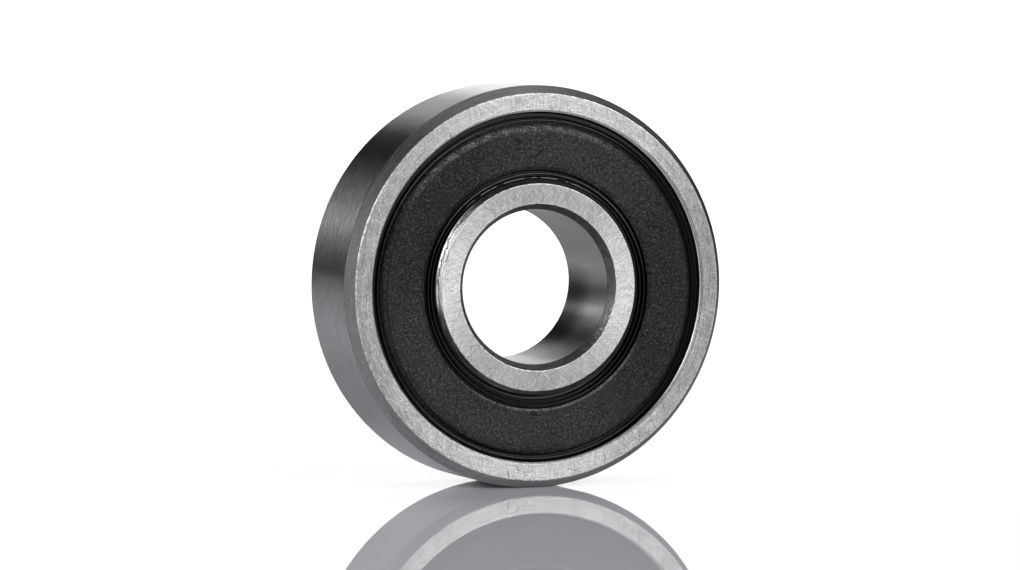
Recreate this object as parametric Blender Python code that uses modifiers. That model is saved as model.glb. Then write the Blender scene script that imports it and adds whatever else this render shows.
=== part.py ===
"""A sealed deep groove ball bearing: 10 mm bore, 26 mm outside diameter, 8 mm wide.

It stands on its rim. Its axis lies along Y, its middle is at the origin and its front face
looks along -Y. Turned pieces are drawn as (radius, height) points, where height is measured
from the bearing's middle plane towards the face that the piece is nearest to. An outline goes
up the side nearest the axis, across the top, and down the side furthest from it.
"""

import math

import bmesh
import bpy

MM = 0.001

# Boundary dimensions
BORE_RADIUS = 5.0 * MM
OUTSIDE_RADIUS = 13.0 * MM
HALF_WIDTH = 4.0 * MM

# Ball set
BALL_COUNT = 7
BALL_RADIUS = 2.381 * MM
PITCH_RADIUS = 9.0 * MM
GROOVE_RADIUS = 2.45 * MM
RACE_CLEARANCE = 0.06 * MM

# Outer ring
OUTSIDE_CHAMFER_RADIAL = 0.53 * MM
OUTSIDE_CHAMFER_AXIAL = 0.83 * MM
MOUTH_RADIUS = 11.3 * MM
OUTER_SHOULDER_RADIUS = 10.6 * MM
SEAL_GROOVE_RADIUS = 11.72 * MM
SEAL_GROOVE_TOP = 3.25 * MM
SEAL_LEDGE_HEIGHT = 2.6 * MM

# Inner ring
BORE_CHAMFER_RADIAL = 0.39 * MM
BORE_CHAMFER_AXIAL = 0.6 * MM
LAND_RADIUS = 6.97 * MM
LAND_CHAMFER_RADIAL = 0.3 * MM
LAND_CHAMFER_AXIAL = 0.46 * MM
LAND_FOOT_HEIGHT = 2.8 * MM
INNER_SHOULDER_RADIUS = 7.4 * MM
INNER_SHOULDER_HEIGHT = 2.6 * MM

# Seals
SEAL_FACE_HEIGHT = 3.8 * MM
SEAL_FACE_INNER_RADIUS = 7.9 * MM
SEAL_FACE_OUTER_RADIUS = 10.6 * MM
SEAL_STEP = 0.12 * MM
SEAL_MOAT_HEIGHT = 3.45 * MM
SEAL_MOAT_WIDTH = 0.15 * MM
SEAL_EDGE_HEIGHT = 3.65 * MM
SEAL_EDGE_RADIUS = 11.2 * MM
SEAL_NECK_HEIGHT = 3.35 * MM
SEAL_BEAD_RADIUS = 11.65 * MM
SEAL_BEAD_TOP = 3.15 * MM
SEAL_BEAD_BOTTOM = 2.85 * MM
SEAL_UNDERSIDE = 2.7 * MM
LIP_RADIUS = 7.03 * MM
LIP_BOTTOM = 3.05 * MM
LIP_TOP = 3.35 * MM
LIP_ROOT_RADIUS = 7.4 * MM
LIP_ROOT_TOP = 3.55 * MM
LIP_ROOT_BOTTOM = 2.95 * MM
INSERT_INNER_RADIUS = 7.6 * MM
INSERT_OUTER_RADIUS = 11.14 * MM
INSERT_BOTTOM = 2.98 * MM
INSERT_TOP = 3.2 * MM
BOND_GAP = 0.03 * MM

# Ribbon cage: two pressed halves, riveted between the balls
SHEET = 0.35 * MM
CAGE_INNER_RADIUS = 8.05 * MM
CAGE_OUTER_RADIUS = 9.95 * MM
POCKET_CLEARANCE = 0.08 * MM
HALVES_GAP = 0.03 * MM
TAB_HEIGHT = (HALVES_GAP + SHEET) / 2
RIVET_RADIUS = 0.38 * MM
RIVET_HOLE_RADIUS = 0.42 * MM
RIVET_HEAD_RADIUS = 0.65 * MM
RIVET_HEAD_HEIGHT = 0.28 * MM
RIVET_HEAD_GAP = 0.03 * MM

# Fineness. Two over a multiple of four puts a flat facet, not an edge, at the ring's foot.
RING_STEPS = 54
GROOVE_STEPS = 4
BALL_SEGMENTS = 16
BALL_RINGS = 8
RIVET_STEPS = 10
DOME_COLUMNS = 8
TAB_COLUMNS = 2
RIBBON_ROWS = 3
SHARP_ANGLE = math.radians(30)
MERGE_DISTANCE = 0.001 * MM

FRONT = (math.pi / 2, 0, 0)
REAR = (math.pi / 2, 0, math.pi)


def clear_scene():
    for old in list(bpy.data.objects):
        bpy.data.objects.remove(old, do_unlink=True)


def add_collection(name):
    collection = bpy.data.collections.new(name)
    bpy.context.scene.collection.children.link(collection)
    return collection


def add_axis(name, collection):
    """An empty on the bearing's axis, which turns everything that is parented to it."""
    axis = bpy.data.objects.new(name, None)
    axis.empty_display_size = BORE_RADIUS
    collection.objects.link(axis)
    return axis


def add_material(name, colour, metallic, roughness):
    material = bpy.data.materials.new(name)
    material.use_nodes = True
    shader = material.node_tree.nodes["Principled BSDF"]
    shader.inputs["Base Color"].default_value = (*colour, 1)
    shader.inputs["Metallic"].default_value = metallic
    shader.inputs["Roughness"].default_value = roughness
    return material


def add_part(name, mesh, material, axis, rotation=FRONT, location=(0, 0, 0)):
    mesh.materials.append(material)
    part = bpy.data.objects.new(name, mesh)
    part.rotation_euler = rotation
    part.location = location
    part.parent = axis
    axis.users_collection[0].objects.link(part)
    return part


def on_circle(radius, turns):
    """A point in the bearing's middle plane, counted in turns from the top of the ring."""
    angle = math.tau * turns
    return (radius * math.sin(angle), 0, radius * math.cos(angle))


def mirrored(upper):
    """The whole outline of a piece whose lower half mirrors its upper half."""
    return upper + [(radius, -height) for radius, height in reversed(upper) if height > 0]


def raceway(floor_radius, shoulder_radius, outwards):
    """The groove's arc from its floor to its shoulder. outwards is 1 on the outer ring and -1 on the inner."""
    centre = floor_radius - outwards * GROOVE_RADIUS
    end = math.acos(abs(shoulder_radius - centre) / GROOVE_RADIUS)
    angles = [end * step / GROOVE_STEPS for step in range(GROOVE_STEPS + 1)]
    return [
        (centre + outwards * GROOVE_RADIUS * math.cos(angle), GROOVE_RADIUS * math.sin(angle))
        for angle in angles
    ]


def outer_ring_outline():
    floor_radius = PITCH_RADIUS + BALL_RADIUS + RACE_CLEARANCE
    return mirrored(
        raceway(floor_radius, OUTER_SHOULDER_RADIUS, 1)
        + [
            (OUTER_SHOULDER_RADIUS, SEAL_LEDGE_HEIGHT),
            (SEAL_GROOVE_RADIUS, SEAL_LEDGE_HEIGHT),
            (SEAL_GROOVE_RADIUS, SEAL_GROOVE_TOP),
            (MOUTH_RADIUS, SEAL_GROOVE_TOP + (SEAL_GROOVE_RADIUS - MOUTH_RADIUS) / 2),
            (MOUTH_RADIUS, HALF_WIDTH),
            (OUTSIDE_RADIUS - OUTSIDE_CHAMFER_RADIAL, HALF_WIDTH),
            (OUTSIDE_RADIUS, HALF_WIDTH - OUTSIDE_CHAMFER_AXIAL),
        ]
    )


def inner_ring_outline():
    floor_radius = PITCH_RADIUS - BALL_RADIUS - RACE_CLEARANCE
    groove = raceway(floor_radius, INNER_SHOULDER_RADIUS, -1)
    return mirrored(
        [
            (BORE_RADIUS, HALF_WIDTH - BORE_CHAMFER_AXIAL),
            (BORE_RADIUS + BORE_CHAMFER_RADIAL, HALF_WIDTH),
            (LAND_RADIUS - LAND_CHAMFER_RADIAL, HALF_WIDTH),
            (LAND_RADIUS, HALF_WIDTH - LAND_CHAMFER_AXIAL),
            (LAND_RADIUS, LAND_FOOT_HEIGHT),
            (INNER_SHOULDER_RADIUS, INNER_SHOULDER_HEIGHT),
        ]
        + groove[::-1]
    )


def seal_rubber_outline():
    """Lip, raised face, moat, edge and snap-in bead, with a recess beneath for the steel insert."""
    recess_top = INSERT_TOP + BOND_GAP
    recess_inner_radius = INSERT_INNER_RADIUS - BOND_GAP
    recess_outer_radius = INSERT_OUTER_RADIUS + BOND_GAP
    moat_radius = SEAL_FACE_OUTER_RADIUS + SEAL_STEP
    return [
        (LIP_RADIUS, LIP_BOTTOM),
        (LIP_RADIUS, LIP_TOP),
        (LIP_ROOT_RADIUS, LIP_ROOT_TOP),
        (SEAL_FACE_INNER_RADIUS - SEAL_STEP, LIP_ROOT_TOP),
        (SEAL_FACE_INNER_RADIUS, SEAL_FACE_HEIGHT),
        (SEAL_FACE_OUTER_RADIUS, SEAL_FACE_HEIGHT),
        (moat_radius, SEAL_MOAT_HEIGHT),
        (moat_radius + SEAL_MOAT_WIDTH, SEAL_MOAT_HEIGHT),
        (moat_radius + SEAL_MOAT_WIDTH + SEAL_STEP, SEAL_EDGE_HEIGHT),
        (SEAL_EDGE_RADIUS, SEAL_EDGE_HEIGHT),
        (SEAL_EDGE_RADIUS, SEAL_NECK_HEIGHT),
        (SEAL_BEAD_RADIUS, SEAL_BEAD_TOP),
        (SEAL_BEAD_RADIUS, SEAL_BEAD_BOTTOM),
        (SEAL_BEAD_RADIUS - SEAL_STEP, SEAL_UNDERSIDE),
        (recess_outer_radius, SEAL_UNDERSIDE),
        (recess_outer_radius, recess_top),
        (recess_inner_radius, recess_top),
        (recess_inner_radius, LIP_ROOT_BOTTOM),
    ]


def seal_insert_outline():
    return [
        (INSERT_INNER_RADIUS, INSERT_BOTTOM),
        (INSERT_INNER_RADIUS, INSERT_TOP),
        (INSERT_OUTER_RADIUS, INSERT_TOP),
        (INSERT_OUTER_RADIUS, INSERT_BOTTOM),
    ]


def rivet_outline():
    """Half of a rivet with a domed head at each end, from the top of its axis to the bottom."""
    head_bottom = TAB_HEIGHT + SHEET / 2 + RIVET_HEAD_GAP
    head_top = head_bottom + RIVET_HEAD_HEIGHT
    upper = [
        (0, head_top),
        (RIVET_HEAD_RADIUS / 2, head_top - RIVET_HEAD_HEIGHT / 5),
        (RIVET_HEAD_RADIUS, head_bottom),
        (RIVET_RADIUS, head_bottom),
    ]
    return upper + [(radius, -height) for radius, height in reversed(upper)]


def turned_mesh(name, outline, steps, closed=True):
    """The outline turned about Z by a Screw modifier and made a plain mesh."""
    last = len(outline) - 1
    edges = [(start, start + 1) for start in range(last)]
    if closed:
        edges.append((last, 0))
    profile = bpy.data.meshes.new(name + "_profile")
    profile.from_pydata([(radius, 0, height) for radius, height in outline], edges, [])
    turner = bpy.data.objects.new(name + "_turner", profile)
    bpy.context.scene.collection.objects.link(turner)
    screw = turner.modifiers.new("Turn", "SCREW")
    screw.steps = steps
    screw.render_steps = steps
    screw.use_merge_vertices = True
    screw.merge_threshold = MERGE_DISTANCE
    mesh = evaluated_mesh(turner, name)
    bpy.data.objects.remove(turner)
    bpy.data.meshes.remove(profile)
    return mesh


def evaluated_mesh(source, name):
    """What the object's modifiers make of it, smooth but for its sharp edges."""
    bpy.context.view_layer.update()
    graph = bpy.context.evaluated_depsgraph_get()
    mesh = bpy.data.meshes.new_from_object(source.evaluated_get(graph))
    mesh.name = name
    mesh.shade_smooth()
    mesh.set_sharp_from_angle(angle=SHARP_ANGLE)
    return mesh


def ball_mesh():
    sphere = bmesh.new()
    bmesh.ops.create_uvsphere(
        sphere, u_segments=BALL_SEGMENTS, v_segments=BALL_RINGS, radius=BALL_RADIUS
    )
    mesh = bpy.data.meshes.new("ball")
    sphere.to_mesh(mesh)
    sphere.free()
    mesh.shade_smooth()
    return mesh


def ribbon_point(around, across):
    """A point of the cage sheet's middle surface.

    around counts ball pitches from the ring's top, and a pocket's dome is centred on each whole
    number. across runs from 0 at the ribbon's inner edge to 1 at its outer edge.
    """
    pocket = round(around)
    phase = 2 * (around - pocket)
    dome_share = DOME_COLUMNS / (DOME_COLUMNS + TAB_COLUMNS)
    radius = CAGE_INNER_RADIUS + across * (CAGE_OUTER_RADIUS - CAGE_INNER_RADIUS)
    dome_radius = BALL_RADIUS + POCKET_CLEARANCE + SHEET / 2
    crown = math.sqrt(dome_radius**2 - (radius - PITCH_RADIUS) ** 2)
    foot_tilt = math.acos(TAB_HEIGHT / crown)
    height = crown * math.cos(foot_tilt * min(abs(phase) / dome_share, 1))
    reach = dome_radius**2 - height**2
    cosine = (radius**2 + PITCH_RADIUS**2 - reach) / (2 * radius * PITCH_RADIUS)
    angle = math.acos(min(cosine, 1))
    if abs(phase) > dome_share:
        tab_share = (abs(phase) - dome_share) / (1 - dome_share)
        angle += tab_share * (math.pi / BALL_COUNT - angle)
    angle = math.tau * pocket / BALL_COUNT + math.copysign(angle, phase)
    return (radius * math.sin(angle), radius * math.cos(angle), height)


def ribbon_mesh():
    """The middle surface of one cage half: a flat grid bent into a ring of domes and tabs."""
    ribbon = bmesh.new()
    columns = BALL_COUNT * (DOME_COLUMNS + TAB_COLUMNS)
    bmesh.ops.create_grid(ribbon, x_segments=columns, y_segments=RIBBON_ROWS, size=0.5)
    for vertex in ribbon.verts:
        vertex.co = ribbon_point((vertex.co.x + 0.5) * BALL_COUNT, vertex.co.y + 0.5)
    bmesh.ops.remove_doubles(ribbon, verts=ribbon.verts, dist=MERGE_DISTANCE)
    mesh = bpy.data.meshes.new("cage_ribbon")
    ribbon.to_mesh(mesh)
    ribbon.free()
    mesh.shade_smooth()
    return mesh


def add_rings(housing, shaft, steel):
    add_part("outer_ring", turned_mesh("outer_ring", outer_ring_outline(), RING_STEPS), steel, housing)
    add_part("inner_ring", turned_mesh("inner_ring", inner_ring_outline(), RING_STEPS), steel, shaft)


def add_seal(side, rotation, housing, rubber, insert_steel):
    """One seal: a moulded rubber ring and the flat steel washer that stiffens it from behind."""
    ring = turned_mesh("seal_rubber", seal_rubber_outline(), RING_STEPS)
    washer = turned_mesh("seal_insert", seal_insert_outline(), RING_STEPS)
    add_part("seal_rubber_" + side, ring, rubber, housing, rotation)
    add_part("seal_insert_" + side, washer, insert_steel, housing, rotation)


def add_balls(cage, steel):
    mesh = ball_mesh()
    mesh.materials.append(steel)
    for number in range(BALL_COUNT):
        ball = bpy.data.objects.new(f"ball_{number + 1}", mesh)
        ball.rotation_euler = FRONT
        ball.location = on_circle(PITCH_RADIUS, number / BALL_COUNT)
        ball.parent = cage
        cage.users_collection[0].objects.link(ball)


def rivet_place(number):
    """The middle of the tab after the given pocket."""
    return on_circle(PITCH_RADIUS, (number + 0.5) / BALL_COUNT)


def add_rivets(cage, steel):
    for number in range(BALL_COUNT):
        mesh = turned_mesh("cage_rivet", rivet_outline(), RIVET_STEPS, closed=False)
        add_part(f"cage_rivet_{number + 1}", mesh, steel, cage, FRONT, rivet_place(number))


def add_rivet_drills(cutters):
    """A hidden cylinder for each rivet hole, long enough to pass both tabs."""
    drill = bmesh.new()
    bmesh.ops.create_cone(
        drill,
        cap_ends=True,
        segments=RIVET_STEPS,
        radius1=RIVET_HOLE_RADIUS,
        radius2=RIVET_HOLE_RADIUS,
        depth=6 * SHEET,
    )
    mesh = bpy.data.meshes.new("rivet_drill")
    drill.to_mesh(mesh)
    drill.free()
    for number in range(BALL_COUNT):
        cutter = bpy.data.objects.new(f"rivet_drill_{number + 1}", mesh)
        cutter.rotation_euler = FRONT
        cutter.location = rivet_place(number)
        cutter.hide_render = True
        cutter.display_type = "WIRE"
        cutters.objects.link(cutter)


def add_cage_half(side, rotation, cage, cutters, steel):
    half = add_part("cage_" + side, ribbon_mesh(), steel, cage, rotation)
    thicken = half.modifiers.new("Sheet", "SOLIDIFY")
    thicken.thickness = SHEET
    thicken.offset = 0
    thicken.use_even_offset = True
    drill = half.modifiers.new("Rivet holes", "BOOLEAN")
    drill.operation = "DIFFERENCE"
    drill.operand_type = "COLLECTION"
    drill.collection = cutters
    drill.solver = "EXACT"


def main():
    clear_scene()
    bearing = add_collection("ball_bearing")
    cutters = add_collection("cutters")
    ring_steel = add_material("ring_steel", (0.62, 0.62, 0.63), 1.0, 0.32)
    ball_steel = add_material("ball_steel", (0.8, 0.8, 0.82), 1.0, 0.08)
    cage_steel = add_material("cage_steel", (0.55, 0.54, 0.52), 1.0, 0.4)
    rivet_steel = add_material("rivet_steel", (0.6, 0.6, 0.6), 1.0, 0.35)
    seal_rubber = add_material("seal_rubber", (0.03, 0.03, 0.034), 0.0, 0.6)
    insert_steel = add_material("insert_steel", (0.5, 0.5, 0.52), 1.0, 0.45)

    housing = add_axis("housing_side", bearing)
    shaft = add_axis("shaft_side", bearing)
    cage = add_axis("cage_axis", bearing)

    add_rings(housing, shaft, ring_steel)
    add_rivet_drills(cutters)
    for side, rotation in (("front", FRONT), ("rear", REAR)):
        add_seal(side, rotation, housing, seal_rubber, insert_steel)
        add_cage_half(side, rotation, cage, cutters, cage_steel)
    add_balls(cage, ball_steel)
    add_rivets(cage, rivet_steel)


main()
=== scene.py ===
"""Looks of a sealed deep groove ball bearing, 10 x 26 x 8 mm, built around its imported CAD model.

Every CAD node is stood in for by a finer piece of the same size. Pieces are drawn in the row
frame: the bearing's axis lies along Y, its front face looks along -Y and Z is up. Turned
pieces start as outlines of (radius, height) corners in millimetres, where height is measured
from the middle plane towards the side that the piece is on.
"""

import math

import bmesh
import bpy
import numpy as np
from mathutils import Matrix, Vector


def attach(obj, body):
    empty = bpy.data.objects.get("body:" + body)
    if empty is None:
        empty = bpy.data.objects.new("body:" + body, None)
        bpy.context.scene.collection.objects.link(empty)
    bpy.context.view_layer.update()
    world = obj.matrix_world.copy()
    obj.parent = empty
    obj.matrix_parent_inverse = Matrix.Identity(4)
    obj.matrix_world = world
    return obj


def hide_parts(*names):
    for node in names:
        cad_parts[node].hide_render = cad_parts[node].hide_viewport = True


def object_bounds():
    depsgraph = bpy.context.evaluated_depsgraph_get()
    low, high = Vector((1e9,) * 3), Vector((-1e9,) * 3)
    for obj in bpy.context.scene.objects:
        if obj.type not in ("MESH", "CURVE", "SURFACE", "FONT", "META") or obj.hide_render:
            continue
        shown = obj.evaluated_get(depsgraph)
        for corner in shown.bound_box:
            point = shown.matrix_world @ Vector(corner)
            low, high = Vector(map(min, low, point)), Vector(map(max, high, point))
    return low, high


MM = 0.001

# Steps round the axis and round a corner, how far beside a rounded corner its supporting point
# is, in mm, and the angle from which an edge is shaded sharp
TURN_STEPS = 288
ARC_STEPS = 4
SUPPORT = 0.025
SHARP_ANGLE = math.radians(32)

# Finishes of the rings, in the order of their materials
GROUND = 0
TURNED = 1
CYLINDER = 2
RACE = 3
BRIGHT_EDGE = 4
RUBBED = 5

# Finishes of the seals' rubber, in the order of their materials
GRAINED = 0
POLISHED = 1

# Boundary dimensions, mm
BORE_RADIUS = 5.0
OUTSIDE_RADIUS = 13.0
HALF_WIDTH = 4.0

# Ball set, mm
BALL_COUNT = 7
BALL_RADIUS = 2.381
PITCH_RADIUS = 9.0
GROOVE_RADIUS = 2.45
RACE_CLEARANCE = 0.06

# Rings, mm
MOUTH_RADIUS = 11.3
MOUTH_BEVEL = 0.13
MOUTH_BEVEL_DEPTH = 0.12
OUTER_CHAMFER = 0.53
OUTER_CHAMFER_DEPTH = 0.83
BORE_CHAMFER = 0.39
BORE_CHAMFER_DEPTH = 0.6
LAND_CHAMFER = 0.3
LAND_CHAMFER_DEPTH = 0.27
OUTER_SHOULDER = 10.6
SEAL_GROOVE_RADIUS = 11.72
SEAL_GROOVE_BOTTOM = 2.6
SEAL_GROOVE_TOP = 3.25
MOUTH_FOOT = 3.46
LAND_RADIUS = 6.97
LAND_FOOT = 2.8
INNER_SHOULDER = 7.4
INNER_SHOULDER_TOP = 2.6

# Seals, mm: the raised face, the middles of the ridges on the lip and by the rim, how far the
# moulded face and its seam sit off the bearing's axis, and the insert
SEAL_FACE_INNER = 7.96
SEAL_FACE_OUTER = 10.5
SEAL_FACE_HEIGHT = 3.8
LEDGE_RADIUS = 7.72
LOWER_RIDGE = 7.205
UPPER_RIDGE = 7.465
RIM_RIDGE = 10.91
RIDGE_HALF = 0.025
SEAL_DROP = 0.15
SEAM_SHIFT = (0.15, 0, -0.4)
SEAM_RADIUS = 10.4
INSERT_INNER = 7.6
INSERT_OUTER = 11.14
INSERT_BOTTOM = 2.98
INSERT_TOP = 3.2
BOND_GAP = 0.03

# Cage and rivets, mm. DOME_SHARE of the ribbon is domed over the balls and the rest is flat tabs
SHEET = 0.35
CAGE_INNER_RADIUS = 8.05
CAGE_OUTER_RADIUS = 9.95
POCKET_CLEARANCE = 0.08
HALVES_GAP = 0.03
TAB_HEIGHT = (HALVES_GAP + SHEET) / 2
DOME_SHARE = 0.8
POCKET_STEPS = 40
BROKEN_EDGE = 0.03
RIVET_HOLE_RADIUS = 0.42
RIVET_RADIUS = 0.38
HEAD_RADIUS = 0.65
HEAD_HEIGHT = 0.28
HEAD_GAP = 0.03

# Curved grinding strokes on the rings' faces: slope to the circle in degrees, width and length
# in mm, share of the face, and how much lighter or darker they are
OUTER_STROKES = [
    (4, 0.06, 2.0, 0.08, 0.24),
    (-6, 0.06, 1.6, 0.08, -0.24),
    (14, 0.06, 1.8, 0.05, -0.2),
]
INNER_STROKES = [
    (62, 0.06, 0.9, 0.06, -0.24),
    (-58, 0.06, 1.1, 0.06, 0.28),
    (88, 0.06, 0.8, 0.06, -0.24),
    (-36, 0.06, 1.4, 0.04, -0.24),
]

# Straight scratches across them: the same, with the slope to the X axis
OUTER_SCRATCHES = [
    (82, 0.06, 1.6, 0.05, 0.4),
    (98, 0.07, 1.4, 0.06, -0.34),
    (38, 0.06, 1.8, 0.04, 0.4),
    (-32, 0.06, 2.0, 0.05, 0.4),
    (8, 0.06, 1.6, 0.04, 0.34),
    (-58, 0.07, 1.4, 0.06, -0.34),
    (-16, 0.07, 1.6, 0.04, -0.3),
]
INNER_SCRATCHES = [
    (84, 0.06, 1.3, 0.05, 0.3),
    (30, 0.06, 1.4, 0.04, 0.34),
    (-40, 0.06, 1.4, 0.04, 0.3),
]

# Single marks on the outer ring's face and on the seal: middle (x, z), turn from X in degrees,
# length and width, mm
FACE_GOUGES = [
    (-2.1, -12.0, 98, 0.35, 0.04),
    (-1.45, -11.66, -58, 0.25, 0.03),
    (-6.0, 9.75, 112, 0.25, 0.04),
]
SEAL_GOUGES = [
    (0.1, 8.65, 44, 0.7, 0.1),
    (-0.35, 8.4, 12, 0.5, 0.06),
    (-1.35, 9.45, -24, 0.5, 0.1),
]

# Camera: angle round the bearing, angle above the floor, distance and sideways offsets
CAMERA_AZIMUTH = math.radians(-21.02)
CAMERA_ELEVATION = math.radians(3.344)
CAMERA_DISTANCE = 0.34414
CAMERA_LEFT = 0.000412
CAMERA_DOWN = 0.000066
CAMERA_LENS = 186.74
CAMERA_WHITE = 1.2

# Soft boxes: azimuth of the middle, from +Y towards +X, half width, lowest and highest
# elevation, the distance over which it fades out, all in degrees, and brightness
ROOM_LEVEL = 0.016
SOFT_BOXES = {
    "backdrop": (22, 7, -5, 10, 5, 1.55),
    "upper_backdrop": (22, 5, 18, 36, 5, 1.7),
    "screen_edge": (9.6, 5.2, 17, 27, 1.0, 0.68),
    "side_glow": (-16, 4, 10, 13, 10, 0.3),
    "back_top": (22, 45, 42, 52, 6, 0.4),
    "right_back": (56, 14, 16, 44, 6, 0.22),
    "horizon_back": (-1, 7, -2, 4, 4, 0.3),
    "horizon_left": (-92, 22, -2, 4, 4, 0.35),
    "key_right": (152, 25, 18, 38, 5, 4.2),
    "fill_right": (142, 24, -5, 6.5, 5, 1.2),
    "key_left": (-113, 24, 10.5, 36, 4, 3.2),
    "strip_left": (-52.5, 5, 18, 22, 5, 3.4),
    "overhead": (14, 60, 58, 72, 5, 2.0),
}


# ---- outlines and meshes


def rounded(corners, arc_steps=ARC_STEPS, bright=False):
    """Points and finishes of a closed outline whose corners are rounded.

    A corner is (radius, height, fillet, finish), and its finish is the material index of the
    stretch that starts there. With bright, each arc beside a ground stretch is a bright edge.
    A point just outside each arc keeps the stretch beside it flat when it is shaded smooth.
    """
    points = []
    finishes = []
    count = len(corners)
    for index, (radius, height, fillet, finish) in enumerate(corners):
        here = Vector((radius, height))
        before = Vector(corners[index - 1][:2]) - here
        after = Vector(corners[(index + 1) % count][:2]) - here
        before_finish = corners[index - 1][3]
        half_angle = before.angle(after) / 2
        if fillet == 0 or half_angle > math.radians(88):
            points.append(here)
            finishes.append(finish)
            continue
        reach = min(fillet / math.tan(half_angle), 0.45 * before.length, 0.45 * after.length)
        fillet = reach * math.tan(half_angle)
        start = here + before.normalized() * reach
        end = here + after.normalized() * reach
        centre = here + (before.normalized() + after.normalized()).normalized() * (
            fillet / math.sin(half_angle)
        )
        support = min(SUPPORT, 0.04 * before.length, 0.04 * after.length)
        points.append(start + before.normalized() * support)
        finishes.append(before_finish)
        sweep = (end - centre).angle_signed(start - centre)
        for step in range(arc_steps + 1):
            angle = -sweep * step / arc_steps
            arm = start - centre
            outward = arm.x * math.cos(angle) + arm.y * math.sin(angle)
            upward = arm.y * math.cos(angle) - arm.x * math.sin(angle)
            points.append(centre + Vector((outward, upward)))
            shared = before_finish if step < arc_steps / 2 else finish
            rubbed_bright = bright and GROUND in (before_finish, finish)
            finishes.append(BRIGHT_EDGE if rubbed_bright else shared)
        points.append(end + after.normalized() * support)
        finishes.append(finish)
    return points, finishes


def turned_mesh(name, outline, side=1, steps=TURN_STEPS, closed=True):
    """The outline turned about the bearing's axis. side is 1 for the front and -1 for the rear."""
    points, finishes = outline
    count = len(points)
    angles = np.arange(steps) * math.tau / steps
    radii = np.array([point[0] for point in points])
    heights = np.array([point[1] for point in points])
    x = np.outer(np.sin(angles), radii)
    y = np.tile(-side * heights, (steps, 1))
    z = np.outer(np.cos(angles), radii)
    vertices = np.stack([x, y, z], -1).reshape(-1, 3) * MM
    faces = []
    slots = []
    for step in range(steps):
        following = (step + 1) % steps
        for index in range(count if closed else count - 1):
            beside = (index + 1) % count
            here = step * count
            there = following * count
            ring = [here + index, here + beside, there + beside, there + index]
            faces.append(ring if side > 0 else ring[::-1])
            slots.append(finishes[index])
    mesh = bpy.data.meshes.new(name)
    mesh.from_pydata(vertices.tolist(), [], faces)
    mesh.polygons.foreach_set("material_index", slots)
    return mesh


def finished(mesh):
    """The mesh, shaded smooth but for its sharp edges."""
    mesh.update()
    mesh.shade_smooth()
    mesh.set_sharp_from_angle(angle=SHARP_ANGLE)
    return mesh


def add_object(name, data):
    """A new object in the scene."""
    item = bpy.data.objects.new(name, data)
    bpy.context.scene.collection.objects.link(item)
    return item


def add_piece(name, mesh, materials, body, replaced=None):
    """A piece on the body, which stands for the replaced CAD node, or the one of its own name."""
    for material in materials:
        mesh.materials.append(material)
    piece = add_object(name, mesh)
    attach(piece, body)
    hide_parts(replaced or name)
    return piece


def mirrored(upper):
    """The whole outline of a piece whose lower half mirrors its upper half.

    Each corner carries the finish of the stretch after it, so going back down a corner takes
    the finish of the stretch before it.
    """
    lower = []
    for index in range(len(upper) - 1, -1, -1):
        radius, height, fillet, finish = upper[index]
        before = upper[index - 1][3] if index else finish
        if height > 0:
            lower.append((radius, -height, fillet, before))
    return upper + lower


def raceway(floor_radius, shoulder_radius, outwards, steps=10):
    """The groove's arc from its floor to its shoulder.

    outwards is 1 on the outer ring and -1 on the inner.
    """
    centre = floor_radius - outwards * GROOVE_RADIUS
    end = math.acos(abs(shoulder_radius - centre) / GROOVE_RADIUS)
    arc = []
    for step in range(steps):
        angle = end * step / steps
        reach = GROOVE_RADIUS * math.cos(angle)
        arc.append((centre + outwards * reach, GROOVE_RADIUS * math.sin(angle), 0, RACE))
    arc.append((shoulder_radius, GROOVE_RADIUS * math.sin(end), 0.05, TURNED))
    return arc


# ---- node building


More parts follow.
